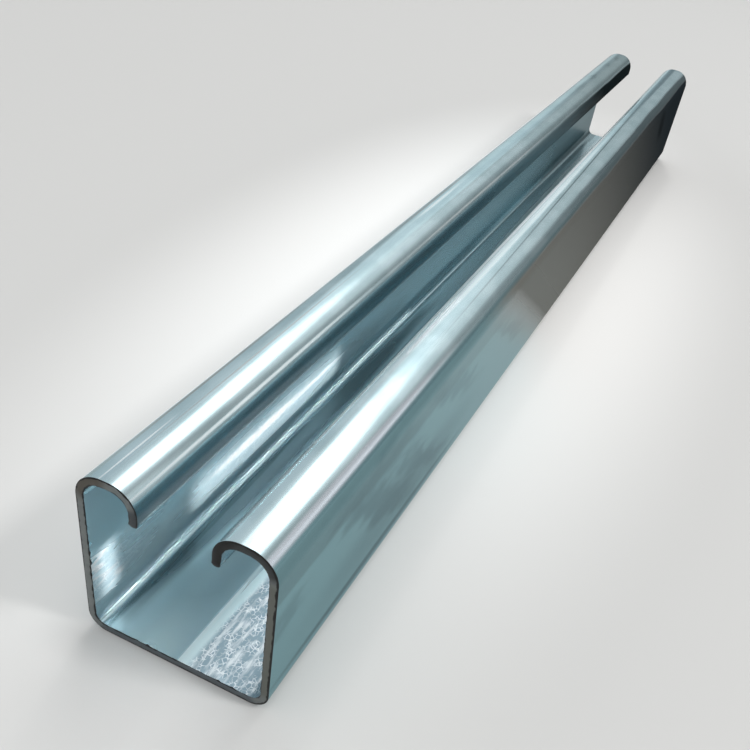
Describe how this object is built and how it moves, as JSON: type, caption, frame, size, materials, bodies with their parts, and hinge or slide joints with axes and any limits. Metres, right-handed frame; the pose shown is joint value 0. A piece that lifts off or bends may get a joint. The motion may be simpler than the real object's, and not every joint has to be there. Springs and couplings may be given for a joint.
{
  "type": "metal channel section",
  "caption": "Lipped C-shaped steel channel, roll-formed from one zinc-coated strip, with rounded flanges turned in and down either side of a continuous slot.",
  "frame": {"origin": "under the middle of the web, at half the length, on the plane that the channel lies on", "axes": "+X along the length, +Y across the width, +Z from the web out of the slot"},
  "size_m": [0.38, 0.041, 0.041],
  "materials": {
    "zinc_coated_steel": "bright pre-galvanised, with lengthwise rolling marks, bare steel at the cut ends"
  },
  "bodies": {
    "root": {"channel": "zinc_coated_steel"}
  },
  "joints": []
}
